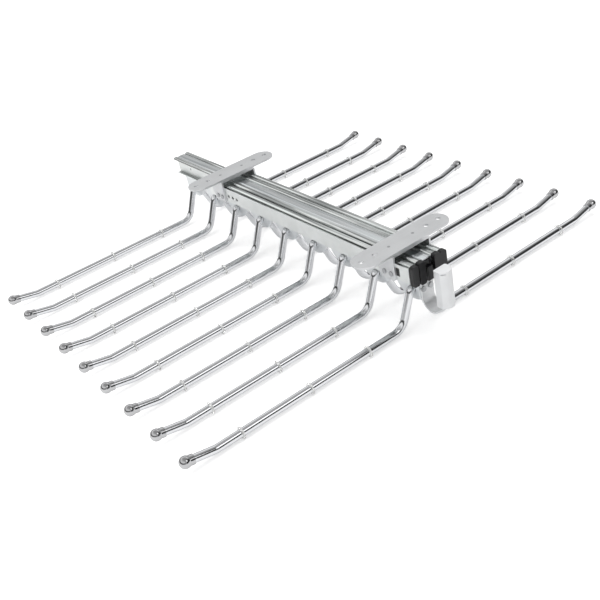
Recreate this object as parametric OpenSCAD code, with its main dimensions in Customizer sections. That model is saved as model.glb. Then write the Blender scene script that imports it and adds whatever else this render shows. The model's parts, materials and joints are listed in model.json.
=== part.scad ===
// Pull out trouser rack. Nine double arms hang from a pressed carrier that runs forward between
// two telescopic ball bearing slides, and two plates above the slides screw it under a shelf.
// Sizes are in millimetres. X runs along the arms, the handle looks along -Y and Z points up.
// The origin lies under the middle of the rack, level with the lowest point of the grip rings.

/* [Arms] */
// distance from one arm to the next
arm_pitch = 50; // [40:1:60]
// radius of the bent rod
rod_radius = 4; // [3:0.5:4.5]
// height of the top of the arch over the straight rod, on centrelines
crown_height = 37.8; // [34:0.1:44]
// radius of the arch on the rod's centreline
crown_bend_radius = 6; // [5.5:0.1:8]
// lean of the leg under the arch, in degrees from upright
leg_lean = 23.4; // [15:0.1:30]
// radius of the bend from leg to straight rod
elbow_bend_radius = 16; // [10:0.5:22]
// distance of the outer upward kink from the middle
kink_place = 235; // [220:1:250]
// bend radius of the kink
kink_bend_radius = 15; // [8:1:25]
// distance of the ball end from the middle
tip_place = 264; // [255:1:280]
// rise of the ball end over the straight rod
tip_rise = 6; // [3:0.5:12]
// how much smaller the radius of the rod is in its bends, and each side of the handle strip's bends
bend_relief = 0.02; // [0.01:0.005:0.03]
// how far a bend runs on inside the straight pieces beside it
bend_lap = 0.2; // [0.1:0.05:0.25]

/* [Arm ends and grip rings] */
// radius of the ball end
tip_ball_radius = 5.75; // [5.25:0.05:7]
// radius of the collar behind the ball
tip_collar_radius = 4.8; // [4.6:0.05:5.2]
// distance from the ball's centre to the seat of the rod
tip_seat = 7.5; // [6:0.1:9]
// radius of the section of a grip ring
ring_section_radius = 0.9; // [0.6:0.05:1.2]
// gap between a grip ring and the rod
ring_clearance = 0.1; // [0.05:0.01:0.2]
// distance of the inner grip ring from the middle
inner_ring_place = 64; // [50:1:80]
// distance of the middle grip ring from the middle
middle_ring_place = 133; // [110:1:150]
// distance of the outer grip ring from the middle
outer_ring_place = 209; // [190:1:215]

/* [Lengths] */
// how far the slides reach past the front arm
front_overhang = 22.5; // [20:0.5:30]
// how far the carrier reaches past the rear arm
rear_overhang = 18; // [14:0.5:30]
// how far the handle reaches past the slides
handle_reach = 26.5; // [25:0.5:32]
// length of the fixed and the middle rails
rail_length = 340; // [320:1:360]
// play kept behind each end cap
end_play = 0.5; // [0.3:0.1:1]

/* [Slides] */
// height of the middle of the slides over the straight rods
slide_rise = 67.7; // [64:0.1:76]
// width over both slides
slides_width = 43; // [41:0.1:46]
// sheet thickness of the rails
rail_sheet = 1; // [0.8:0.05:1.1]
// height of the larger channels
channel_height = 20.9; // [20:0.1:24]
// depth of one stage of a slide
channel_depth = 8; // [7.8:0.1:8.4]
// outer bend radius of the channels
channel_bend_radius = 2; // [1.5:0.1:2.4]
// height of the face of the smaller rails
runner_height = 16.4; // [15.6:0.1:16.6]
// radius of the balls
ball_radius = 1.5; // [1.4:0.05:1.55]
// gap between a ball and its race
race_clearance = 0.15; // [0.1:0.01:0.2]
// depth of the ball centres from the open side of the channel
ball_inset = 4.2; // [4.1:0.05:4.4]
// sheet thickness of the ball cages
cage_sheet = 0.5; // [0.4:0.05:0.55]
// gap between a cage and the web of its channel
cage_gap = 0.2; // [0.15:0.05:0.3]
// gap between a ball and its pocket
pocket_clearance = 0.1; // [0.05:0.01:0.2]
// length of the outer cages
outer_cage_length = 150; // [120:1:160]
// length of the inner cages
inner_cage_length = 180; // [150:1:200]
// distance from one ball to the next
ball_pitch = 18; // [14:1:24]
// place of the middle of the inner cages, from the middle of the rails
inner_cage_place = 40; // [20:1:60]

/* [Rivets] */
// radius of the rivet shanks in the slides
rivet_radius = 1.5; // [1:0.1:2]
// radius of the rivet heads in the slides
rivet_head_radius = 2.6; // [2.2:0.1:3]
// height of the rivet heads
rivet_head_height = 0.7; // [0.4:0.1:0.9]
// gap between a rivet and its hole
rivet_clearance = 0.1; // [0.05:0.01:0.2]
// distance of the end rivets from the ends of the rails
rivet_end_distance = 30; // [20:1:60]

/* [End caps] */
// how far a black cap stands out of its channel
cap_length = 4.5; // [3:0.1:6]
// gap between a cap and the cap or rail beside it
cap_side_gap = 0.3; // [0.2:0.05:0.6]
// corner radius of the caps
cap_corner_radius = 2.2; // [1:0.1:3]
// height that the inner caps stand over their channels
cap_crest = 1; // [0.5:0.1:1.5]
// width of the black catch in the fixed rail
catch_width = 4.6; // [3:0.1:6]
// height of the black catch in the fixed rail
catch_height = 8.6; // [6:0.1:10]
// distance of the catch from the front of the fixed rail
catch_place = 15; // [8:0.5:16]

/* [Mounting plates] */
// length of a mounting plate
plate_length = 114; // [105:1:130]
// width of a mounting plate
plate_width = 28; // [25:0.5:34]
// thickness of a mounting plate
plate_thickness = 2; // [1.5:0.1:3]
// distance between the outer holes
outer_hole_spacing = 96; // [90:1:98]
// distance between the inner holes
inner_hole_spacing = 64; // [60:1:70]
// radius of the screw holes
plate_hole_radius = 2.6; // [2:0.1:3]
// distance of the front plate's middle from the front of the slides
plate_setback = 31.5; // [28:0.5:36]
// distance of the rear plate's middle from the rear end of the fixed rails
rear_plate_setback = 20.5; // [18:0.5:32]

/* [Saddles] */
// sheet thickness of a saddle
saddle_sheet = 2; // [1.5:0.1:2.5]
// outer bend radius of a saddle
saddle_bend_radius = 3; // [2.6:0.1:4]
// gap between the slides and the saddle over them
saddle_gap = 3.65; // [2:0.05:6]
// how far the flanges reach over the middle of the slides, downward
saddle_reach = 10.2; // [8:0.1:10.4]
// width of a flange at its lower edge
flange_width = 20; // [17:0.5:24]
// corner radius at the lower edge of a flange
flange_corner_radius = 3; // [1:0.5:5]
// depth of the straight part of a flange under the plate
flange_shoulder = 5; // [3:0.5:8]
// distance between the two rivets of a flange
flange_rivet_spacing = 9; // [7:0.5:10]
// distance of the flange rivets under the middle of the slides
flange_rivet_drop = 3.6; // [3:0.1:4.8]
// distance between the two rivets of a plate
plate_rivet_spacing = 30; // [20:1:34]
// radius of the three small holes in a fixed rail, in front of the rear saddle
rail_hole_radius = 1.7; // [1:0.1:2.5]
// distance between those holes
rail_hole_spacing = 8.6; // [7:0.1:12]
// distance of the last of them from the rear saddle
rail_hole_gap = 6; // [4:0.5:10]
// distance of the holes under the middle of the slides
rail_hole_drop = 1; // [0:0.1:2]

/* [Carrier] */
// sheet thickness of the carrier
carrier_sheet = 1.5; // [1.2:0.1:1.9]
// outer bend radius of the carrier's shoulders
carrier_bend_radius = 2; // [1.9:0.1:2.5]
// height of the carrier's top over the middle of the slides
carrier_top = 9.8; // [8:0.1:11]
// distance of the joggle under the middle of the slides
joggle_drop = 7.7; // [7:0.1:10]
// radius of the lobes round the arm holes
lobe_radius = 24; // [20:0.5:28]
// height of the lobe centres over the straight rods
lobe_rise = 50; // [46:0.5:52]
// radius of the notches between the lobes
notch_radius = 4; // [3:0.5:8]
// gap between the top of an arch and its hole
arm_hole_clearance = 0.2; // [0.1:0.05:0.4]
// extra radius of the arm holes
arm_hole_play = 0.5; // [0.3:0.05:0.8]
// width over the two front ears
ear_width = 15; // [12:0.5:18]
// distance of the ears behind the front of the slides
ear_setback = 5.5; // [4:0.5:7]
// height of the ears' top over the straight rods
ear_top = 56; // [50:0.5:56]
// height of the ears' lower edge over the straight rods
ear_bottom = 35; // [34:0.5:38]

/* [Handle] */
// width of the handle strip
strip_width = 14.6; // [12:0.1:18]
// thickness of the handle strip
strip_sheet = 2; // [1.5:0.1:2.5]
// shift of the handle to the right
handle_shift = 1.2; // [-2:0.1:3]
// radius of the strip's lower bend on its middle
strip_bend_radius = 11; // [9:0.5:12]
// height of the lower bend's centre over the straight rods
strip_bend_rise = 35; // [33:0.5:37]
// slope of the strip under the grip, in degrees
strip_slope = 38; // [30:1:45]
// radius of the strip's upper bend on its middle
tongue_bend_radius = 4; // [3:0.5:5]
// wall of the grip in front of the tongue
grip_wall = 2.3; // [2:0.1:3]
// width of the strip's tongue inside the grip
tongue_width = 9.6; // [8:0.1:10.4]
// gap between the tongue and the grip
tongue_clearance = 0.3; // [0.2:0.05:0.5]
// width of the grip
grip_width = 15.4; // [13:0.1:20]
// depth of the grip
grip_depth = 12.6; // [11.6:0.1:16]
// height of the grip's lower face over the straight rods
grip_bottom = 34; // [33:0.5:36]
// height of the grip
grip_height = 38; // [30:0.5:44]
// radius of the grip's bowed front
grip_bow_radius = 9; // [8:0.1:12]
// corner radius at the back of the grip
grip_corner_radius = 1.5; // [0.5:0.1:3]
// thickness of the grip over the tongue
grip_roof = 4; // [3:0.5:6]
// width of the small slot under the top of the grip's front
grip_slot_width = 5; // [3:0.5:6]
// height and depth of the small slot
grip_slot_height = 1.2; // [0.8:0.1:1.4]
// how far the small slot is turned to the left, in degrees
grip_slot_turn = 38; // [0:1:40]
// radius of the handle screws
handle_screw_radius = 1.6; // [1.2:0.1:2]
// head radius of the handle screws
handle_screw_head_radius = 2.8; // [2.2:0.1:3.2]
// head height of the handle screws
handle_screw_head_height = 1.4; // [1:0.1:2]
// distance of the handle screws from the middle of the carrier
handle_screw_place = 4.6; // [4.5:0.1:4.8]

/* [Front buffer] */
// width of the buffer's nose
buffer_width = 6; // [4:0.1:6.8]
// height of the buffer's nose
buffer_height = 14; // [10:0.5:16]
// how far the nose stands in front of the slides
buffer_length = 4; // [2:0.1:6]
// depth of the plug behind the nose
buffer_plug_length = 14; // [8:0.5:20]
// gap between the plug and the carrier
buffer_clearance = 0.3; // [0.2:0.05:0.5]

/* [Hidden] */
arm_count = 9;
rivet_count = 3;
carriage_rivet_count = 4;
rail_hole_count = 3;
overrun = 1;

// lengths and places along Y
arms_span = (arm_count - 1) * arm_pitch;
carriage_length = arms_span + front_overhang + rear_overhang;
object_length = carriage_length + handle_reach;
rear_end = object_length / 2;
front_end = rear_end - carriage_length;
rail_rear = front_end + rail_length;
rail_middle = (front_end + rail_rear) / 2;
front_plate_y = front_end + plate_setback;
rear_plate_y = rail_rear - rear_plate_setback;
ear_front = front_end + ear_setback;

// heights
ring_radius = rod_radius + ring_clearance + ring_section_radius;
rod_height = ring_radius + ring_section_radius;
slide_height = rod_height + slide_rise;
saddle_under = slide_height + channel_height / 2 + saddle_gap;
plate_under = saddle_under + saddle_sheet;
plate_top = plate_under + plate_thickness;
saddle_bottom = slide_height - saddle_reach;
flange_middle = (flange_width - plate_width) / 2;

// ball races
race_radius = ball_radius + race_clearance;
race_outer_radius = race_radius + rail_sheet;
ball_height = channel_height / 2 - race_outer_radius;
lip_turn = 155;
groove_start_turn = 180;
groove_end_turn = 310;
half_slides = slides_width / 2;
carrier_half_width = half_slides - 2 * channel_depth;
cage_depth = channel_depth - rail_sheet - cage_gap;
cage_front = ball_inset - 0.8 * ball_radius;

// arm centreline, measured from the straight rod's middle
crown_centre = crown_height - crown_bend_radius;
leg_top = [crown_bend_radius * cos(leg_lean), crown_centre + crown_bend_radius * sin(leg_lean)];
leg_foot_height = elbow_bend_radius * (1 - sin(leg_lean));
leg_foot = [leg_top[0] + (leg_top[1] - leg_foot_height) * tan(leg_lean), leg_foot_height];
elbow_centre = [leg_foot[0] + elbow_bend_radius * cos(leg_lean), elbow_bend_radius];
kink_turn = atan(tip_rise / (tip_place - kink_place));
kink_tangent = kink_bend_radius * tan(kink_turn / 2);
kink_end = [kink_place + kink_tangent * cos(kink_turn), kink_tangent * sin(kink_turn)];
tip_run = norm([tip_place, tip_rise] - kink_end) - tip_seat;

// carrier
arm_hole_radius = rod_radius + arm_hole_play;
arm_hole_rise = crown_height + rod_radius + arm_hole_clearance - arm_hole_radius;
wall_inner = carrier_half_width - carrier_sheet;
joggle_rise = slide_rise - joggle_drop;
joggle_offset = carrier_sheet * (sqrt(2) - 1);
notch_drop = sqrt(max(0, pow(lobe_radius + notch_radius, 2) - pow(arm_pitch / 2, 2)));
notch_rise = lobe_rise - notch_drop;
web_bottom_rise = lobe_rise - notch_drop * lobe_radius / (lobe_radius + notch_radius);

// handle, in the plane of Y and height over the straight rods
strip_y = ear_front - strip_sheet / 2;
bend_centre = [strip_y - strip_bend_radius, strip_bend_rise];
slope_start = bend_centre + strip_bend_radius * [cos(270 - strip_slope), sin(270 - strip_slope)];
grip_front = -object_length / 2;
tongue_y = grip_front + grip_wall + tongue_clearance + strip_sheet / 2;
tongue_shift = tongue_bend_radius * (1 - sin(strip_slope));
slope_run = (slope_start[0] - tongue_y - tongue_shift) / cos(strip_slope);
slope_end = slope_start + slope_run * [-cos(strip_slope), sin(strip_slope)];
tongue_centre = slope_end + tongue_bend_radius * [sin(strip_slope), cos(strip_slope)];
tongue_top = grip_bottom + grip_height - grip_roof;
slot_back = tongue_y + strip_sheet / 2 + tongue_clearance + tongue_bend_radius / 4;
handle_screw_rise = (ear_top + ear_bottom) / 2;

// profiles along Y, drawn with X across and the second axis up
module along_y(from, to) {
    translate([0, to, 0])
        rotate([90, 0, 0])
            linear_extrude(height = to - from)
                children();
}

// outlines in the plane of Y and Z, spread over X from one place to another
module across_x(from, to) {
    translate([from, 0, 0])
        rotate([90, 0, 90])
            linear_extrude(height = to - from)
                children();
}

// the left slide's place, or its mirror image on the right
module left_side() {
    translate([-half_slides, 0, slide_height])
        children();
}

module right_side() {
    mirror([1, 0, 0])
        left_side()
            children();
}

// part of a flat ring, under half a turn
module ring_piece(inner, outer, from, to) {
    reach = 2 * outer;
    middle = (from + to) / 2;
    intersection() {
        difference() {
            circle(r = outer);
            circle(r = inner);
        }
        polygon([[0, 0], reach * [cos(from), sin(from)], reach * [cos(middle), sin(middle)],
            reach * [cos(to), sin(to)]]);
    }
}

module both_halves() {
    children();
    mirror([0, 1])
        children();
}

// the smaller profile, with a groove for the balls in each flange
module runner_half() {
    half = runner_height / 2;
    square([rail_sheet, half]);
    difference() {
        translate([0, half - rail_sheet])
            square([ball_inset, rail_sheet]);
        translate([ball_inset, ball_height])
            circle(r = race_radius);
    }
    translate([ball_inset, ball_height])
        ring_piece(race_radius, race_outer_radius, groove_start_turn, groove_end_turn);
}

module runner_section() {
    both_halves()
        runner_half();
}

// the larger profile, whose lips close round the balls
module channel_half() {
    half = channel_height / 2;
    translate([channel_depth - rail_sheet, 0])
        square([rail_sheet, half - channel_bend_radius]);
    translate([channel_depth - channel_bend_radius, half - channel_bend_radius])
        ring_piece(channel_bend_radius - rail_sheet, channel_bend_radius, 0, 90);
    translate([ball_inset, half - rail_sheet])
        square([channel_depth - channel_bend_radius - ball_inset, rail_sheet]);
    translate([ball_inset, ball_height])
        ring_piece(race_radius, race_outer_radius, 90, lip_turn);
}

module channel_section() {
    both_halves()
        channel_half();
}

// the thin cage that keeps the balls apart
module cage_section() {
    both_halves()
        union() {
            translate([cage_depth - cage_sheet, 0])
                square([cage_sheet, ball_height]);
            translate([cage_front, ball_height - cage_sheet / 2])
                square([cage_depth - cage_front, cage_sheet]);
        }
}

function balls_in(length) = floor((length - 2 * ball_radius) / ball_pitch);
function ball_place(i, length) = (i - balls_in(length) / 2) * ball_pitch;

module cage(length, middle) {
    difference() {
        along_y(middle - length / 2, middle + length / 2)
            cage_section();
        for (i = [0 : balls_in(length)])
            translate([ball_inset, middle + ball_place(i, length), -channel_height / 2])
                cylinder(h = channel_height, r = ball_radius + pocket_clearance);
    }
}

module balls(length, middle) {
    for (i = [0 : balls_in(length)])
        for (side = [-1, 1])
            translate([ball_inset, middle + ball_place(i, length), side * ball_height])
                sphere(r = ball_radius);
}

// holes and rivets across a slide, on its middle line
function rail_rivet_y(i) = front_end + rivet_end_distance
    + i * (rail_length - 2 * rivet_end_distance) / (rivet_count - 1);
function carriage_rivet_y(i) = front_end + rivet_end_distance
    + i * (carriage_length - 2 * rivet_end_distance) / (carriage_rivet_count - 1);

module rail_rivet_holes() {
    for (i = [0 : rivet_count - 1])
        translate([-overrun, rail_rivet_y(i), 0])
            rotate([0, 90, 0])
                cylinder(h = channel_depth + 2 * overrun, r = rivet_radius + rivet_clearance);
}

module middle_rivets() {
    for (i = [0 : rivet_count - 1])
        translate([channel_depth - rail_sheet, rail_rivet_y(i), 0])
            rotate([0, 90, 0])
                union() {
                    cylinder(h = 2 * rail_sheet, r = rivet_radius);
                    translate([0, 0, 2 * rail_sheet])
                        cylinder(h = rivet_head_height, r = rivet_head_radius);
                }
}

module middle_channel() {
    difference() {
        along_y(front_end, rail_rear)
            channel_section();
        rail_rivet_holes();
    }
}

module middle_runner() {
    translate([channel_depth, 0, 0])
        difference() {
            along_y(front_end + end_play, rail_rear)
                runner_section();
            rail_rivet_holes();
        }
}

module carriage_channel() {
    translate([channel_depth, 0, 0])
        difference() {
            along_y(front_end, rear_end)
                channel_section();
            for (i = [0 : carriage_rivet_count - 1])
                translate([0, carriage_rivet_y(i), 0])
                    rotate([0, 90, 0])
                        cylinder(h = channel_depth + overrun, r = rivet_radius + rivet_clearance);
        }
}

// the flange rivets' places in one saddle
module at_flange_rivets(plate_y) {
    for (side = [-1, 1])
        translate([0, plate_y + flange_middle + side * flange_rivet_spacing / 2, -flange_rivet_drop])
            children();
}

module fixed_rail() {
    difference() {
        along_y(front_end + end_play, rail_rear)
            runner_section();
        for (i = [0 : rail_hole_count - 1])
            translate([-overrun, rear_plate_y - plate_width / 2 - rail_hole_gap - i * rail_hole_spacing,
                    -rail_hole_drop])
                rotate([0, 90, 0])
                    cylinder(h = rail_sheet + 2 * overrun, r = rail_hole_radius);
        for (plate_y = [front_plate_y, rear_plate_y])
            at_flange_rivets(plate_y)
                translate([-overrun, 0, 0])
                    rotate([0, 90, 0])
                        cylinder(h = rail_sheet + 2 * overrun, r = rivet_radius + rivet_clearance);
        translate([-overrun, front_end + end_play + catch_place - catch_width / 2, -catch_height / 2])
            cube([rail_sheet + 2 * overrun, catch_width, catch_height]);
    }
}

module fixed_rail_catch() {
    width = catch_width - 2 * rivet_clearance;
    height = catch_height - 2 * rivet_clearance;
    middle = front_end + end_play + catch_place;
    translate([0, middle - width / 2, -height / 2])
        cube([rail_sheet, width, height]);
    translate([rail_sheet, middle - catch_width / 2 - rail_sheet, -catch_height / 2 - rail_sheet])
        cube([rail_sheet, catch_width + 2 * rail_sheet, catch_height + 2 * rail_sheet]);
}

// a cap's outline across its channel, with rounded corners
module cap_section(width, height) {
    radius = min(cap_corner_radius, width / 2);
    square([width, height - 2 * radius], center = true);
    square([width - 2 * radius, height], center = true);
    for (side = [-1, 1])
        for (end = [-1, 1])
            translate([side * (width / 2 - radius), end * (height / 2 - radius)])
                circle(r = radius);
}

module middle_cap() {
    translate([channel_depth / 2, 0, 0])
        along_y(front_end - cap_length, front_end)
            cap_section(channel_depth - 2 * cap_side_gap, channel_height);
}

module carriage_cap() {
    translate([channel_depth + channel_depth / 2, 0, 0])
        along_y(front_end - cap_length - end_play, front_end)
            cap_section(channel_depth - cap_side_gap, channel_height + 2 * cap_crest);
}

module carriage_rivets_side() {
    for (i = [0 : carriage_rivet_count - 1])
        translate([2 * channel_depth - rail_sheet, carriage_rivet_y(i), 0])
            rotate([0, 90, 0])
                union() {
                    cylinder(h = rail_sheet + carrier_sheet, r = rivet_radius);
                    translate([0, 0, rail_sheet + carrier_sheet])
                        cylinder(h = rivet_head_height, r = rivet_head_radius);
                }
}

// plates and saddles
module mounting_plate(plate_y) {
    straight = plate_length - plate_width;
    translate([0, plate_y, plate_under])
        difference() {
            union() {
                translate([-straight / 2, -plate_width / 2, 0])
                    cube([straight, plate_width, plate_thickness]);
                for (side = [-1, 1])
                    translate([side * straight / 2, 0, 0])
                        cylinder(h = plate_thickness, r = plate_width / 2);
            }
            for (side = [-1, 1]) {
                for (spacing = [outer_hole_spacing, inner_hole_spacing])
                    translate([side * spacing / 2, 0, -overrun])
                        cylinder(h = plate_thickness + 2 * overrun, r = plate_hole_radius);
                translate([side * plate_rivet_spacing / 2, 0, -overrun])
                    cylinder(h = plate_thickness + 2 * overrun, r = rivet_radius + rivet_clearance);
            }
        }
}

module saddle_section() {
    outer = half_slides + saddle_sheet;
    inner_bend = saddle_bend_radius - saddle_sheet;
    translate([saddle_bend_radius - outer, saddle_under])
        square([2 * (outer - saddle_bend_radius), saddle_sheet]);
    for (side = [0, 1])
        mirror([side, 0])
            union() {
                translate([outer - saddle_bend_radius, plate_under - saddle_bend_radius])
                    ring_piece(inner_bend, saddle_bend_radius, 0, 90);
                translate([half_slides, saddle_bottom])
                    square([saddle_sheet, plate_under - saddle_bend_radius - saddle_bottom]);
            }
}

// a flange seen from the side: upright in front, slanted at the back
module flange_outline() {
    front = -plate_width / 2;
    shoulder = plate_under - flange_shoulder;
    low = saddle_bottom + flange_corner_radius;
    union() {
        polygon([[front, plate_under], [front, low], [front + flange_width, low],
            [plate_width / 2, shoulder], [plate_width / 2, plate_under]]);
        translate([front + flange_corner_radius, saddle_bottom])
            square([flange_width - 2 * flange_corner_radius, flange_corner_radius]);
        for (place = [front + flange_corner_radius, front + flange_width - flange_corner_radius])
            translate([place, low])
                circle(r = flange_corner_radius);
    }
}

module saddle(plate_y) {
    outer = half_slides + saddle_sheet;
    difference() {
        intersection() {
            along_y(plate_y - plate_width / 2, plate_y + plate_width / 2)
                saddle_section();
            translate([0, plate_y, 0])
                across_x(-outer, outer)
                    flange_outline();
        }
        for (side = [-1, 1])
            translate([side * plate_rivet_spacing / 2, plate_y, saddle_under - overrun])
                cylinder(h = saddle_sheet + 2 * overrun, r = rivet_radius + rivet_clearance);
        translate([0, 0, slide_height])
            at_flange_rivets(plate_y)
                translate([-outer - overrun, 0, 0])
                    rotate([0, 90, 0])
                        cylinder(h = 2 * (outer + overrun), r = rivet_radius + rivet_clearance);
    }
}

module plate_rivets() {
    color("silver")
        for (plate_y = [front_plate_y, rear_plate_y])
            for (side = [-1, 1])
                translate([side * plate_rivet_spacing / 2, plate_y, saddle_under - rivet_head_height])
                    union() {
                        cylinder(h = rivet_head_height, r = rivet_head_radius);
                        cylinder(h = plate_top - saddle_under + rivet_head_height, r = rivet_radius);
                    }
}

module saddle_rivets_side() {
    for (plate_y = [front_plate_y, rear_plate_y])
        at_flange_rivets(plate_y)
            rotate([0, 90, 0])
                union() {
                    translate([0, 0, -saddle_sheet - rivet_head_height])
                        cylinder(h = rivet_head_height, r = rivet_head_radius);
                    translate([0, 0, -saddle_sheet])
                        cylinder(h = saddle_sheet + rail_sheet, r = rivet_radius);
                }
}

// carrier half on the right, its sheet drawn in the plane of X and height over the rods
module carrier_section() {
    top = slide_rise + carrier_top;
    bend = carrier_bend_radius;
    side = carrier_half_width;
    translate([0, top - carrier_sheet])
        square([side - bend, carrier_sheet]);
    translate([side - bend, top - bend])
        ring_piece(bend - carrier_sheet, bend, 0, 90);
    polygon([[side, top - bend], [side, joggle_rise + wall_inner], [carrier_sheet, joggle_rise],
        [carrier_sheet, lobe_rise - lobe_radius], [0, lobe_rise - lobe_radius],
        [0, joggle_rise + joggle_offset], [wall_inner, joggle_rise + wall_inner + joggle_offset],
        [wall_inner, top - bend]]);
}

function arm_y(k) = rear_end - rear_overhang - (k - 1) * arm_pitch;

module carrier_outline() {
    difference() {
        union() {
            translate([front_end, joggle_rise])
                square([carriage_length, carrier_top + joggle_drop + overrun]);
            translate([ear_front, web_bottom_rise])
                square([rear_end - ear_front, joggle_rise - web_bottom_rise]);
            for (k = [1 : arm_count])
                translate([arm_y(k), lobe_rise])
                    circle(r = lobe_radius);
        }
        translate([front_end - lobe_radius, 0])
            square([ear_front - front_end + lobe_radius, joggle_rise]);
        for (k = [1 : arm_count - 1])
            translate([arm_y(k) - arm_pitch / 2, notch_rise])
                circle(r = notch_radius);
    }
}

module carrier_half() {
    difference() {
        union() {
            intersection() {
                translate([0, 0, rod_height])
                    along_y(front_end, rear_end)
                        carrier_section();
                translate([0, 0, rod_height])
                    across_x(0, carrier_half_width)
                        carrier_outline();
            }
            translate([0, ear_front, rod_height + ear_bottom])
                cube([ear_width / 2, carrier_sheet, ear_top - ear_bottom]);
        }
        for (k = [1 : arm_count])
            translate([-overrun, arm_y(k), rod_height + arm_hole_rise])
                rotate([0, 90, 0])
                    cylinder(h = carrier_sheet + 2 * overrun, r = arm_hole_radius);
        for (i = [0 : carriage_rivet_count - 1])
            translate([0, carriage_rivet_y(i), slide_height])
                rotate([0, 90, 0])
                    cylinder(h = carrier_half_width + overrun, r = rivet_radius + rivet_clearance);
        translate([handle_screw_place, ear_front - overrun, rod_height + handle_screw_rise])
            rotate([-90, 0, 0])
                cylinder(h = carrier_sheet + 2 * overrun, r = handle_screw_radius + rivet_clearance);
    }
}

// arms, drawn in the plane of X and height over the straight rods; each piece starts in the frame
// where the one before it ends, and a bend is a little thinner and runs on into the straight rods
module rod_bend(radius, turn) {
    lap = bend_lap / radius * 180 / PI;
    rotate([0, 0, -lap])
        rotate_extrude(angle = turn + 2 * lap)
            translate([radius, 0])
                circle(r = rod_radius - bend_relief);
}

module rod_straight(length) {
    rotate([-90, 0, 0])
        cylinder(h = length, r = rod_radius);
}

// one side of an arm, from the end of the arch's bend to the tip
module arm_side() {
    leg = norm(leg_foot - leg_top);
    straight = kink_place - kink_tangent - elbow_centre[0];
    rotate([0, 0, leg_lean])
        translate([crown_bend_radius, -leg, 0])
            union() {
                rod_straight(leg);
                translate([elbow_bend_radius, 0, 0])
                    rotate([0, 0, 180])
                        union() {
                            rod_bend(elbow_bend_radius, 90 - leg_lean);
                            rotate([0, 0, 90 - leg_lean])
                                translate([elbow_bend_radius, 0, 0])
                                    arm_outer(straight);
                        }
            }
}

module arm_outer(straight) {
    rod_straight(straight);
    translate([-kink_bend_radius, straight, 0])
        union() {
            rod_bend(kink_bend_radius, kink_turn);
            rotate([0, 0, kink_turn])
                translate([kink_bend_radius, 0, 0])
                    rod_straight(tip_run);
        }
}

module arm(k) {
    color("gainsboro")
        translate([0, arm_y(k), rod_height])
            rotate([90, 0, 0])
                translate([0, crown_centre, 0])
                    union() {
                        rotate([0, 0, leg_lean])
                            rod_bend(crown_bend_radius, 180 - 2 * leg_lean);
                        arm_side();
                        mirror([1, 0, 0])
                            arm_side();
                    }
}

module arm_end_ball() {
    translate([tip_place, tip_rise, 0])
        rotate([0, 0, kink_turn])
            rotate([0, 90, 0])
                union() {
                    sphere(r = tip_ball_radius);
                    translate([0, 0, -tip_seat])
                        cylinder(h = tip_seat, r = tip_collar_radius);
                }
}

module arm_end_balls() {
    color("silver")
        for (k = [1 : arm_count])
            translate([0, arm_y(k), rod_height])
                rotate([90, 0, 0])
                    for (side = [0, 1])
                        mirror([side, 0, 0])
                            arm_end_ball();
}

module grip_rings() {
    color("white")
        for (k = [1 : arm_count])
            for (place = [inner_ring_place, middle_ring_place, outer_ring_place])
                for (side = [-1, 1])
                    translate([side * place, arm_y(k), rod_height])
                        rotate([0, 90, 0])
                            rotate_extrude()
                                translate([ring_radius, 0])
                                    circle(r = ring_section_radius);
}

// handle strip, with its thickness along X, its run along -Y and its width along Z; each piece
// starts in the frame where the one before it ends
module strip_straight(length) {
    translate([-strip_sheet / 2, -length, -strip_width / 2])
        cube([strip_sheet, length, strip_width]);
}

module strip_bend(radius, turn) {
    lap = bend_lap / radius * 180 / PI;
    translate([-radius, 0, 0])
        rotate([0, 0, -turn - lap])
            rotate_extrude(angle = turn + 2 * lap)
                translate([radius, 0])
                    square([strip_sheet - 2 * bend_relief, strip_width], center = true);
}

module after_strip_bend(radius, turn) {
    translate([-radius, 0, 0])
        rotate([0, 0, -turn])
            translate([radius, 0, 0])
                children();
}

module strip_band() {
    upright = ear_top - strip_bend_rise;
    lower_turn = 90 + strip_slope;
    upper_turn = 90 - strip_slope;
    translate([0, upright, 0])
        strip_straight(upright);
    strip_bend(strip_bend_radius, lower_turn);
    after_strip_bend(strip_bend_radius, lower_turn)
        union() {
            strip_straight(slope_run);
            translate([0, -slope_run, 0])
                union() {
                    strip_bend(tongue_bend_radius, upper_turn);
                    after_strip_bend(tongue_bend_radius, upper_turn)
                        strip_straight(tongue_top - tongue_centre[1]);
                }
        }
}

module handle_strip() {
    shoulder = (strip_width - tongue_width) / 2 + overrun;
    color("lightgray")
        difference() {
            translate([handle_shift, strip_y, rod_height + strip_bend_rise])
                rotate([90, 0, 90])
                    strip_band();
            for (side = [-1, 1])
                translate([handle_shift + side * (tongue_width + shoulder) / 2 - shoulder / 2,
                    grip_front, rod_height + grip_bottom - tongue_clearance])
                    cube([shoulder, slot_back - grip_front, grip_height]);
            for (side = [-1, 1])
                translate([side * handle_screw_place, ear_front, rod_height + handle_screw_rise])
                    rotate([90, 0, 0])
                        cylinder(h = strip_sheet + overrun, r = handle_screw_radius + rivet_clearance);
        }
}

// the grip seen from above, its bowed front at the bottom of the drawing
module grip_section() {
    radius = grip_corner_radius;
    bow = max(grip_bow_radius, grip_width / 2);
    intersection() {
        translate([0, bow - grip_depth])
            circle(r = bow);
        translate([-grip_width / 2, -grip_depth])
            square([grip_width, bow]);
    }
    translate([-grip_width / 2, -grip_depth + bow - overrun])
        square([grip_width, grip_depth - bow + overrun - radius]);
    translate([radius - grip_width / 2, -2 * radius])
        square([grip_width - 2 * radius, 2 * radius]);
    for (side = [-1, 1])
        translate([side * (grip_width / 2 - radius), -radius])
            circle(r = radius);
}

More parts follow.
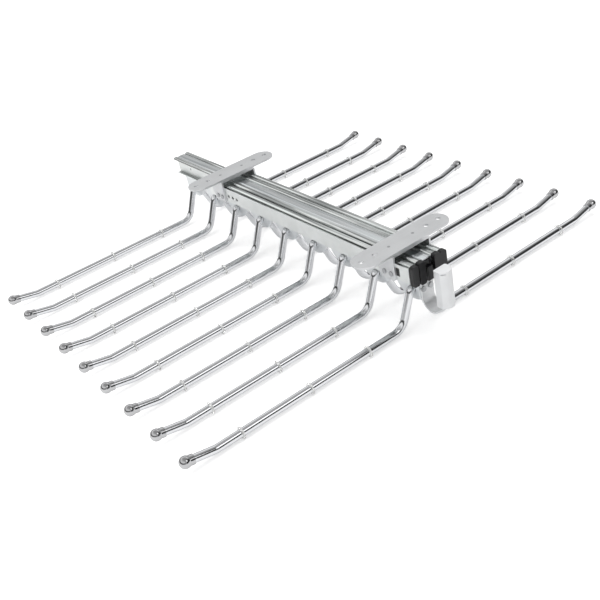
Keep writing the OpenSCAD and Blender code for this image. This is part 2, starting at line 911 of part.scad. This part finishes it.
module handle_grip() {
    slot_front = grip_front + grip_wall;
    slot_half = tongue_width / 2 + tongue_clearance;
    grip_top = grip_bottom + grip_height;
    color("whitesmoke")
        translate([handle_shift, 0, rod_height])
            difference() {
                translate([0, grip_front + grip_depth, grip_bottom])
                    linear_extrude(height = grip_height)
                        grip_section();
                translate([-slot_half, slot_front, grip_bottom - overrun])
                    cube([2 * slot_half, slot_back - slot_front, tongue_top - grip_bottom + overrun]);
                translate([0, grip_front + grip_bow_radius, grip_top - 2 * grip_slot_height])
                    rotate([0, 0, -grip_slot_turn])
                        translate([-grip_slot_width / 2, -grip_bow_radius - overrun, 0])
                            cube([grip_slot_width, overrun + grip_slot_height, grip_slot_height]);
            }
}

module handle_screws() {
    color("silver")
        for (side = [-1, 1])
            translate([side * handle_screw_place, ear_front + carrier_sheet,
                rod_height + handle_screw_rise])
                rotate([90, 0, 0])
                    union() {
                        cylinder(h = carrier_sheet + strip_sheet, r = handle_screw_radius);
                        translate([0, 0, carrier_sheet + strip_sheet])
                            cylinder(h = handle_screw_head_height, r = handle_screw_head_radius);
                    }
}

module front_buffer() {
    plug_width = 2 * (wall_inner - buffer_clearance);
    plug_bottom = slide_height + wall_inner + joggle_offset - joggle_drop + buffer_clearance;
    plug_top = slide_height + carrier_top - carrier_sheet - buffer_clearance;
    nose_top = slide_height - channel_height / 2 + buffer_height - carrier_sheet;
    color("dimgray")
        union() {
            translate([-buffer_width / 2, front_end - buffer_length, nose_top - buffer_height])
                cube([buffer_width, buffer_length, buffer_height]);
            translate([-plug_width / 2, front_end - overrun, plug_bottom])
                cube([plug_width, overrun, plug_top - plug_bottom]);
            translate([-plug_width / 2, front_end - overrun, plug_bottom])
                cube([plug_width, buffer_plug_length + overrun, plug_top - plug_bottom]);
        }
}

// pieces by name
module front_mounting_plate() {
    color("lightgray")
        mounting_plate(front_plate_y);
}

module rear_mounting_plate() {
    color("lightgray")
        mounting_plate(rear_plate_y);
}

module front_saddle() {
    color("gainsboro")
        saddle(front_plate_y);
}

module rear_saddle() {
    color("gainsboro")
        saddle(rear_plate_y);
}

module saddle_rivets() {
    color("gray") {
        left_side()
            saddle_rivets_side();
        right_side()
            saddle_rivets_side();
    }
}

module fixed_rail_left() {
    color("silver")
        left_side()
            fixed_rail();
}

module fixed_rail_right() {
    color("silver")
        right_side()
            fixed_rail();
}

module fixed_rail_catches() {
    color("dimgray") {
        left_side()
            fixed_rail_catch();
        right_side()
            fixed_rail_catch();
    }
}

module middle_channel_left() {
    color("lightsteelblue")
        left_side()
            middle_channel();
}

module middle_channel_right() {
    color("lightsteelblue")
        right_side()
            middle_channel();
}

module middle_runner_left() {
    color("lightblue")
        left_side()
            middle_runner();
}

module middle_runner_right() {
    color("lightblue")
        right_side()
            middle_runner();
}

module middle_rivets_left() {
    color("gray")
        left_side()
            middle_rivets();
}

module middle_rivets_right() {
    color("gray")
        right_side()
            middle_rivets();
}

module middle_cap_left() {
    color("dimgray")
        left_side()
            middle_cap();
}

module middle_cap_right() {
    color("dimgray")
        right_side()
            middle_cap();
}

module outer_cage_left() {
    color("tan")
        left_side()
            cage(outer_cage_length, rail_middle);
}

module outer_cage_right() {
    color("tan")
        right_side()
            cage(outer_cage_length, rail_middle);
}

module outer_balls_left() {
    color("slategray")
        left_side()
            balls(outer_cage_length, rail_middle);
}

module outer_balls_right() {
    color("slategray")
        right_side()
            balls(outer_cage_length, rail_middle);
}

module inner_cage_left() {
    color("tan")
        left_side()
            translate([channel_depth, 0, 0])
                cage(inner_cage_length, rail_middle + inner_cage_place);
}

module inner_cage_right() {
    color("tan")
        right_side()
            translate([channel_depth, 0, 0])
                cage(inner_cage_length, rail_middle + inner_cage_place);
}

module inner_balls_left() {
    color("slategray")
        left_side()
            translate([channel_depth, 0, 0])
                balls(inner_cage_length, rail_middle + inner_cage_place);
}

module inner_balls_right() {
    color("slategray")
        right_side()
            translate([channel_depth, 0, 0])
                balls(inner_cage_length, rail_middle + inner_cage_place);
}

module carriage_channel_left() {
    color("silver")
        left_side()
            carriage_channel();
}

module carriage_channel_right() {
    color("silver")
        right_side()
            carriage_channel();
}

module carriage_caps() {
    color("dimgray") {
        left_side()
            carriage_cap();
        right_side()
            carriage_cap();
    }
}

module carrier_half_left() {
    color("gainsboro")
        mirror([1, 0, 0])
            carrier_half();
}

module carrier_half_right() {
    color("gainsboro")
        carrier_half();
}

module carriage_rivets() {
    color("gray") {
        left_side()
            carriage_rivets_side();
        right_side()
            carriage_rivets_side();
    }
}

module arm_1() {
    arm(1);
}

module arm_2() {
    arm(2);
}

module arm_3() {
    arm(3);
}

module arm_4() {
    arm(4);
}

module arm_5() {
    arm(5);
}

module arm_6() {
    arm(6);
}

module arm_7() {
    arm(7);
}

module arm_8() {
    arm(8);
}

module arm_9() {
    arm(9);
}

front_mounting_plate();
rear_mounting_plate();
front_saddle();
rear_saddle();
plate_rivets();
saddle_rivets();
fixed_rail_left();
fixed_rail_right();
fixed_rail_catches();
middle_channel_left();
middle_channel_right();
middle_runner_left();
middle_runner_right();
middle_rivets_left();
middle_rivets_right();
middle_cap_left();
middle_cap_right();
outer_cage_left();
outer_cage_right();
outer_balls_left();
outer_balls_right();
inner_cage_left();
inner_cage_right();
inner_balls_left();
inner_balls_right();
carriage_channel_left();
carriage_channel_right();
carriage_caps();
carrier_half_left();
carrier_half_right();
carriage_rivets();
arm_1();
arm_2();
arm_3();
arm_4();
arm_5();
arm_6();
arm_7();
arm_8();
arm_9();
arm_end_balls();
grip_rings();
handle_strip();
handle_grip();
handle_screws();
front_buffer();
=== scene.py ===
"""Looks of the pull out trouser rack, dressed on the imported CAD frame. Lengths are in metres."""

import json

import bpy
from mathutils import Matrix, Vector

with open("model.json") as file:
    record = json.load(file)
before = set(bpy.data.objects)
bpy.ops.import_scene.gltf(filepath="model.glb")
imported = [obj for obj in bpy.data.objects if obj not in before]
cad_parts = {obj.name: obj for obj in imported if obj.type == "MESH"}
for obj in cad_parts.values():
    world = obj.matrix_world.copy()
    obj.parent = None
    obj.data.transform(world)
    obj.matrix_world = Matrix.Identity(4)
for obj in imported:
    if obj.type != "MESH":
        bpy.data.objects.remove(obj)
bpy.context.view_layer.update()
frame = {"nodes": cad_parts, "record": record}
scene = bpy.context.scene
scene.view_settings.view_transform = "Standard"

# Camera, solved from the evenly spaced arms, the level rods and the upright grip
CAMERA_PLACE = (-0.431909, -0.702296, 0.470553)
CAMERA_RIGHT = (0.776543, -0.603870, -0.179784)
CAMERA_UP = (0.450634, 0.332882, 0.828322)
CAMERA_BACK = (-0.440352, -0.724244, 0.530622)
CAMERA_LENS = 50.735
CAMERA_SHIFT = (-0.01197, 0.00197)


def make_camera():
    """The solved camera; its shift only centres the rack as the photograph does."""
    data = bpy.data.cameras.new("camera")
    data.sensor_fit = "HORIZONTAL"
    data.sensor_width = 36.0
    data.lens = CAMERA_LENS
    data.shift_x, data.shift_y = CAMERA_SHIFT
    data.clip_start = 0.01
    data.clip_end = 60.0
    cam = bpy.data.objects.new("camera", data)
    turn = Matrix((CAMERA_RIGHT, CAMERA_UP, CAMERA_BACK)).transposed().to_4x4()
    cam.matrix_world = Matrix.Translation(Vector(CAMERA_PLACE)) @ turn
    scene.collection.objects.link(cam)
    scene.camera = cam


make_camera()


# Node helpers
def new_material(name):
    mat = bpy.data.materials.new(name)
    mat.use_nodes = True
    nodes = mat.node_tree.nodes
    for n in list(nodes):
        nodes.remove(n)
    out = nodes.new("ShaderNodeOutputMaterial")
    return mat, nodes, mat.node_tree.links, out


def node(nodes, kind, **values):
    n = nodes.new(kind)
    for key, value in values.items():
        if key.startswith("in_"):
            n.inputs[key[3:].replace("_", " ")].default_value = value
        else:
            setattr(n, key, value)
    return n


def ramp(nodes, stops):
    r = nodes.new("ShaderNodeValToRGB")
    els = r.color_ramp.elements
    while len(els) < len(stops):
        els.new(0.5)
    for el, (place, colour) in zip(els, stops):
        el.position = place
        el.color = (*colour, 1.0) if len(colour) == 3 else colour
    return r


def grey(v):
    return (v, v, v)


def metal(name, base, rough, spread=0.05, stretch=(1, 1, 1), grain=400.0, bump=0.04, tint=0.02, tone=None,
          painted_top_streak=0.0, ridge=0.0, upright=0.0, metallic=1.0):
    """Plated metal: fine grain stretched along the rolling direction and faint cloudy colour.

    Streaks follow the rolling grain, but their dark bluish colour is laid only on faces that lie level, a
    painted reflection on the tops; upright faces are rougher.
    """
    mat, nodes, links, out = new_material(name)
    bsdf = node(nodes, "ShaderNodeBsdfPrincipled", in_Metallic=metallic)
    coord = nodes.new("ShaderNodeTexCoord")
    mapping = node(nodes, "ShaderNodeMapping", in_Scale=stretch)
    links.new(coord.outputs["Object"], mapping.inputs["Vector"])
    fine = node(nodes, "ShaderNodeTexNoise", in_Scale=grain, in_Detail=4.0, in_Roughness=0.6)
    cloud = node(nodes, "ShaderNodeTexNoise", in_Scale=22.0, in_Detail=3.0, in_Roughness=0.55)
    links.new(mapping.outputs["Vector"], fine.inputs["Vector"])
    links.new(coord.outputs["Object"], cloud.inputs["Vector"])
    low = tuple(max(0.0, c - tint) for c in base)
    high = tuple(min(1.0, c + tint) for c in (tone or base))
    colour = ramp(nodes, [(0.35, low), (0.68, high)])
    links.new(cloud.outputs["Fac"], colour.inputs["Fac"])
    shade = colour.outputs["Color"]
    # Painted reflection: dark bluish lines multiplied into the colour of the up-facing faces only; the ridge
    # bump further down is the grain's real relief
    if painted_top_streak:
        geometry = nodes.new("ShaderNodeNewGeometry")
        facing = nodes.new("ShaderNodeSeparateXYZ")
        links.new(geometry.outputs["True Normal"], facing.inputs[0])
        flat = nodes.new("ShaderNodeMapRange")
        flat.inputs["From Min"].default_value = 0.25
        flat.inputs["From Max"].default_value = 0.75
        links.new(facing.outputs["Z"], flat.inputs["Value"])
        lines = node(nodes, "ShaderNodeTexNoise", in_Scale=330.0, in_Detail=2.0, in_Roughness=0.5)
        links.new(mapping.outputs["Vector"], lines.inputs["Vector"])
        deep = 1.0 - painted_top_streak
        bluish = (deep, deep * 1.03, deep * 1.04)
        darker = ramp(nodes, [(0.38, bluish), (0.5, grey(0.9)), (0.6, (0.97, 1.0, 1.0))])
        links.new(lines.outputs["Fac"], darker.inputs["Fac"])
        both = node(nodes, "ShaderNodeMix", data_type="RGBA", blend_type="MULTIPLY")
        links.new(flat.outputs["Result"], both.inputs["Factor"])
        links.new(shade, both.inputs[6])
        links.new(darker.outputs["Color"], both.inputs[7])
        shade = both.outputs[2]
    links.new(shade, bsdf.inputs["Base Color"])
    rough_map = node(nodes, "ShaderNodeMapRange", in_To_Min=max(0.02, rough - spread) + upright,
                     in_To_Max=rough + spread + upright)
    rough_map.inputs["From Min"].default_value = 0.3
    rough_map.inputs["From Max"].default_value = 0.7
    links.new(fine.outputs["Fac"], rough_map.inputs["Value"])
    roughness = rough_map.outputs["Result"]
    if upright:
        smoother = node(nodes, "ShaderNodeMath", operation="MULTIPLY_ADD")
        smoother.inputs[1].default_value = -upright
        links.new(flat.outputs["Result"], smoother.inputs[0])
        links.new(roughness, smoother.inputs[2])
        roughness = smoother.outputs[0]
    links.new(roughness, bsdf.inputs["Roughness"])
    relief = node(nodes, "ShaderNodeBump", in_Strength=bump, in_Distance=0.0004)
    links.new(fine.outputs["Fac"], relief.inputs["Height"])
    if painted_top_streak:
        rolled = node(nodes, "ShaderNodeBump", in_Strength=ridge, in_Distance=0.0005)
        links.new(lines.outputs["Fac"], rolled.inputs["Height"])
        links.new(rolled.outputs["Normal"], relief.inputs["Normal"])
    links.new(relief.outputs["Normal"], bsdf.inputs["Normal"])
    links.new(bsdf.outputs["BSDF"], out.inputs["Surface"])
    return mat


def plastic(name, base, rough, grain=900.0, bump=0.08, spec=0.5, tint=0.01, metallic=0.0):
    """Moulded plastic, or a metallic paint where metallic is above zero, with a fine skin."""
    mat, nodes, links, out = new_material(name)
    bsdf = node(nodes, "ShaderNodeBsdfPrincipled", in_Metallic=metallic, in_Specular_IOR_Level=spec)
    coord = nodes.new("ShaderNodeTexCoord")
    fine = node(nodes, "ShaderNodeTexNoise", in_Scale=grain, in_Detail=3.0)
    cloud = node(nodes, "ShaderNodeTexNoise", in_Scale=40.0, in_Detail=2.0)
    links.new(coord.outputs["Object"], fine.inputs["Vector"])
    links.new(coord.outputs["Object"], cloud.inputs["Vector"])
    low = tuple(max(0.0, c - tint) for c in base)
    high = tuple(min(1.0, c + tint) for c in base)
    colour = ramp(nodes, [(0.35, low), (0.65, high)])
    links.new(cloud.outputs["Fac"], colour.inputs["Fac"])
    links.new(colour.outputs["Color"], bsdf.inputs["Base Color"])
    rough_map = node(nodes, "ShaderNodeMapRange", in_To_Min=rough - 0.06, in_To_Max=rough + 0.06)
    links.new(fine.outputs["Fac"], rough_map.inputs["Value"])
    links.new(rough_map.outputs["Result"], bsdf.inputs["Roughness"])
    relief = node(nodes, "ShaderNodeBump", in_Strength=bump, in_Distance=0.0003)
    links.new(fine.outputs["Fac"], relief.inputs["Height"])
    links.new(relief.outputs["Normal"], bsdf.inputs["Normal"])
    links.new(bsdf.outputs["BSDF"], out.inputs["Surface"])
    return mat


def clear_ring():
    """Soft clear plastic that lets the rod and the floor show through, a little cloudy."""
    mat, nodes, links, out = new_material("clear_ring")
    bsdf = node(nodes, "ShaderNodeBsdfPrincipled", in_Transmission_Weight=0.7, in_IOR=1.36)
    coord = nodes.new("ShaderNodeTexCoord")
    cloud = node(nodes, "ShaderNodeTexNoise", in_Scale=120.0, in_Detail=2.0)
    links.new(coord.outputs["Object"], cloud.inputs["Vector"])
    colour = ramp(nodes, [(0.3, (0.92, 0.92, 0.91)), (0.7, (0.98, 0.98, 0.97))])
    links.new(cloud.outputs["Fac"], colour.inputs["Fac"])
    links.new(colour.outputs["Color"], bsdf.inputs["Base Color"])
    rough_map = node(nodes, "ShaderNodeMapRange", in_To_Min=0.16, in_To_Max=0.28)
    links.new(cloud.outputs["Fac"], rough_map.inputs["Value"])
    links.new(rough_map.outputs["Result"], bsdf.inputs["Roughness"])
    links.new(bsdf.outputs["BSDF"], out.inputs["Surface"])
    return mat


# How far the grain is stretched along each axis, then one material for each slot of the record
ALONG_RAIL = (1.0, 0.03, 1.0)
ALONG_PLATE = (0.06, 1.0, 1.0)
# zinc_rail and carrier_steel carry the painted reflection, dark bluish lines, on their up-facing faces
MATERIALS = {
    "chrome_rod": metal("chrome_rod", (0.84, 0.85, 0.87), 0.10, spread=0.03, grain=260.0, bump=0.012,
                        tint=0.015),
    "zinc_rail": metal("zinc_rail", (0.79, 0.81, 0.80), 0.12, spread=0.05, stretch=ALONG_RAIL, grain=900.0,
                       bump=0.04, tint=0.02, tone=(0.87, 0.89, 0.88), painted_top_streak=0.58, ridge=0.12, upright=0.26),
    "satin_plate": metal("satin_plate", (0.72, 0.73, 0.74), 0.40, spread=0.08, stretch=ALONG_PLATE,
                         grain=700.0, bump=0.10, tint=0.035, metallic=0.8),
    "carrier_steel": metal("carrier_steel", (0.81, 0.83, 0.84), 0.17, spread=0.05, stretch=ALONG_RAIL,
                           grain=700.0, bump=0.05, painted_top_streak=0.28, ridge=0.08, upright=0.16),
    "rivet_steel": metal("rivet_steel", (0.45, 0.46, 0.47), 0.30, spread=0.08, grain=900.0, bump=0.06),
    "cage_steel": metal("cage_steel", (0.58, 0.57, 0.54), 0.42, spread=0.08, stretch=ALONG_RAIL, bump=0.05),
    "ball_end": metal("ball_end", (0.60, 0.60, 0.61), 0.12, spread=0.03, grain=260.0, bump=0.012),
    "ball_steel": metal("ball_steel", (0.80, 0.81, 0.82), 0.10, spread=0.03, bump=0.01),
    "handle_silver": plastic("handle_silver", (0.84, 0.85, 0.86), 0.34, metallic=0.4, bump=0.05, tint=0.015),
    "black_plastic": plastic("black_plastic", (0.010, 0.010, 0.011), 0.34, tint=0.005, spec=0.4),
    "clear_ring": clear_ring(),
}

# The ball ends look darker than the rods, so they get a darker, slightly rougher copy of the rod metal
for entry in frame["record"]["subparts"]:
    obj = frame["nodes"][entry["node"]]
    obj.data.materials.clear()
    slot = "ball_end" if entry["node"] == "arm_end_balls" else entry["material_slot"]
    obj.data.materials.append(MATERIALS[slot])


# Floor, world and lamps
def make_floor():
    """A pale floor that looks white to the camera, less so in the chrome, and keeps the shadows."""
    mesh = bpy.data.meshes.new("floor")
    reach = 12.0
    corners = [(-reach, -reach, 0), (reach, -reach, 0), (reach, reach, 0), (-reach, reach, 0)]
    mesh.from_pydata(corners, [], [(0, 1, 2, 3)])
    floor = bpy.data.objects.new("floor", mesh)
    floor.location.z = -0.0002
    scene.collection.objects.link(floor)
    mat, nodes, links, out = new_material("floor_white")
    diffuse = node(nodes, "ShaderNodeBsdfDiffuse", in_Color=(0.8, 0.8, 0.8, 1))
    glow = node(nodes, "ShaderNodeEmission", in_Color=(1, 1, 1, 1), in_Strength=1.0)
    path = nodes.new("ShaderNodeLightPath")
    seen = node(nodes, "ShaderNodeMath", operation="ADD")
    seen.use_clamp = True
    links.new(path.outputs["Is Camera Ray"], seen.inputs[0])
    links.new(path.outputs["Is Transmission Ray"], seen.inputs[1])
    mirror = node(nodes, "ShaderNodeMath", operation="MULTIPLY_ADD")
    mirror.inputs[1].default_value = 0.22
    links.new(path.outputs["Is Glossy Ray"], mirror.inputs[0])
    links.new(seen.outputs[0], mirror.inputs[2])
    coord = nodes.new("ShaderNodeTexCoord")
    away = node(nodes, "ShaderNodeVectorMath", operation="LENGTH")
    links.new(coord.outputs["Object"], away.inputs[0])
    fade = node(nodes, "ShaderNodeMapRange", interpolation_type="SMOOTHSTEP")
    # The glow grows with the distance, where the lamps' own light on the floor fades
    for name, value in (("From Min", 0.3), ("From Max", 2.2), ("To Min", 0.45), ("To Max", 0.9)):
        fade.inputs[name].default_value = value
    links.new(away.outputs["Value"], fade.inputs["Value"])
    level = node(nodes, "ShaderNodeMath", operation="MULTIPLY")
    links.new(fade.outputs["Result"], level.inputs[0])
    links.new(mirror.outputs[0], level.inputs[1])
    links.new(level.outputs[0], glow.inputs["Strength"])
    add = nodes.new("ShaderNodeAddShader")
    links.new(diffuse.outputs[0], add.inputs[0])
    links.new(glow.outputs[0], add.inputs[1])
    links.new(add.outputs[0], out.inputs["Surface"])
    mesh.materials.append(mat)


def make_world():
    """White for the camera; for light and reflections a room whose walls are ramps by height.

    Each ramp runs from just under the horizon to the zenith: a dark flag in front, taller to the right and
    open in the middle, a bright wall behind, and a bright one with a dark band to the left.
    """
    world = bpy.data.worlds.new("studio")
    scene.world = world
    world.use_nodes = True
    nodes, links = world.node_tree.nodes, world.node_tree.links
    for n in list(nodes):
        nodes.remove(n)
    out = nodes.new("ShaderNodeOutputWorld")
    coord = nodes.new("ShaderNodeTexCoord")
    split = nodes.new("ShaderNodeSeparateXYZ")
    links.new(coord.outputs["Generated"], split.inputs[0])
    lift = node(nodes, "ShaderNodeMapRange")
    lift.inputs["From Min"].default_value = -0.1
    lift.inputs["From Max"].default_value = 1.0
    links.new(split.outputs["Z"], lift.inputs["Value"])
    front = ramp(nodes, [(0.0, grey(0.05)), (0.09, grey(0.03)), (0.49, grey(0.03)), (0.58, grey(0.09)),
                         (0.76, grey(0.22)), (1.0, grey(0.38))])
    tall = ramp(nodes, [(0.0, grey(0.06)), (0.09, grey(0.045)), (0.62, grey(0.045)), (0.74, grey(0.12)),
                        (0.87, grey(0.25)), (1.0, grey(0.38))])
    pale = ramp(nodes, [(0.0, grey(0.3)), (0.3, grey(0.45)), (0.6, grey(0.5)), (1.0, grey(0.38))])
    back = ramp(nodes, [(0.0, grey(0.5)), (0.09, grey(0.15)), (0.15, grey(0.15)), (0.21, grey(0.72)),
                        (0.46, grey(0.48)), (0.51, grey(0.60)), (0.58, grey(0.98)), (0.70, grey(0.98)),
                        (0.80, grey(0.5)), (0.9, grey(0.46)), (1.0, grey(0.38))])
    left = ramp(nodes, [(0.0, grey(0.6)), (0.16, grey(0.6)), (0.22, grey(0.06)), (0.40, grey(0.06)),
                        (0.50, grey(0.8)), (0.7, grey(0.9)), (1.0, grey(0.38))])
    for r in (front, tall, pale, back, left):
        links.new(lift.outputs["Result"], r.inputs["Fac"])

    def blend(axis, low, high, first, second):
        """The first wall below low on the axis of the direction, the second above high."""
        part = node(nodes, "ShaderNodeMapRange", interpolation_type="SMOOTHSTEP")
        part.inputs["From Min"].default_value = low
        part.inputs["From Max"].default_value = high
        links.new(split.outputs[axis], part.inputs["Value"])
        mix = node(nodes, "ShaderNodeMix", data_type="RGBA")
        links.new(part.outputs["Result"], mix.inputs["Factor"])
        links.new(first, mix.inputs[6])
        links.new(second, mix.inputs[7])
        return mix.outputs[2]

    around = blend("X", 0.37, 0.45, front.outputs["Color"], tall.outputs["Color"])
    around = blend("X", -0.02, 0.14, pale.outputs["Color"], around)
    around = blend("Y", -0.3, 0.2, around, back.outputs["Color"])
    around = blend("X", -0.45, -0.15, left.outputs["Color"], around)
    room = node(nodes, "ShaderNodeBackground", in_Strength=1.0)
    links.new(around, room.inputs["Color"])
    white = node(nodes, "ShaderNodeBackground", in_Color=(1, 1, 1, 1), in_Strength=1.0)
    path = nodes.new("ShaderNodeLightPath")
    choose = nodes.new("ShaderNodeMixShader")
    links.new(path.outputs["Is Camera Ray"], choose.inputs["Fac"])
    links.new(room.outputs[0], choose.inputs[1])
    links.new(white.outputs[0], choose.inputs[2])
    links.new(choose.outputs[0], out.inputs["Surface"])


def make_lamp(name, place, target, size, power, seen=False):
    """A soft box; one that isn't seen lights the scene without showing up in the chrome."""
    data = bpy.data.lights.new(name, "AREA")
    data.shape = "RECTANGLE"
    data.size, data.size_y = size
    data.energy = power
    lamp = bpy.data.objects.new(name, data)
    lamp.location = place
    lamp.rotation_euler = (Vector(target) - Vector(place)).to_track_quat("-Z", "Y").to_euler()
    lamp.visible_glossy = seen
    scene.collection.objects.link(lamp)


make_floor()
make_world()
make_lamp("lamp_box", (0.43, -1.439, 1.389), (0.43, 0, 0), (0.86, 0.92), 3.2, seen=True)
make_lamp("lamp_top", (0.0, 0.4, 3.0), (0, 0.1, 0), (3.4, 3.4), 66.0)
make_lamp("lamp_side", (-1.8, -0.3, 1.0), (0, 0, 0.05), (1.0, 1.2), 8.0)
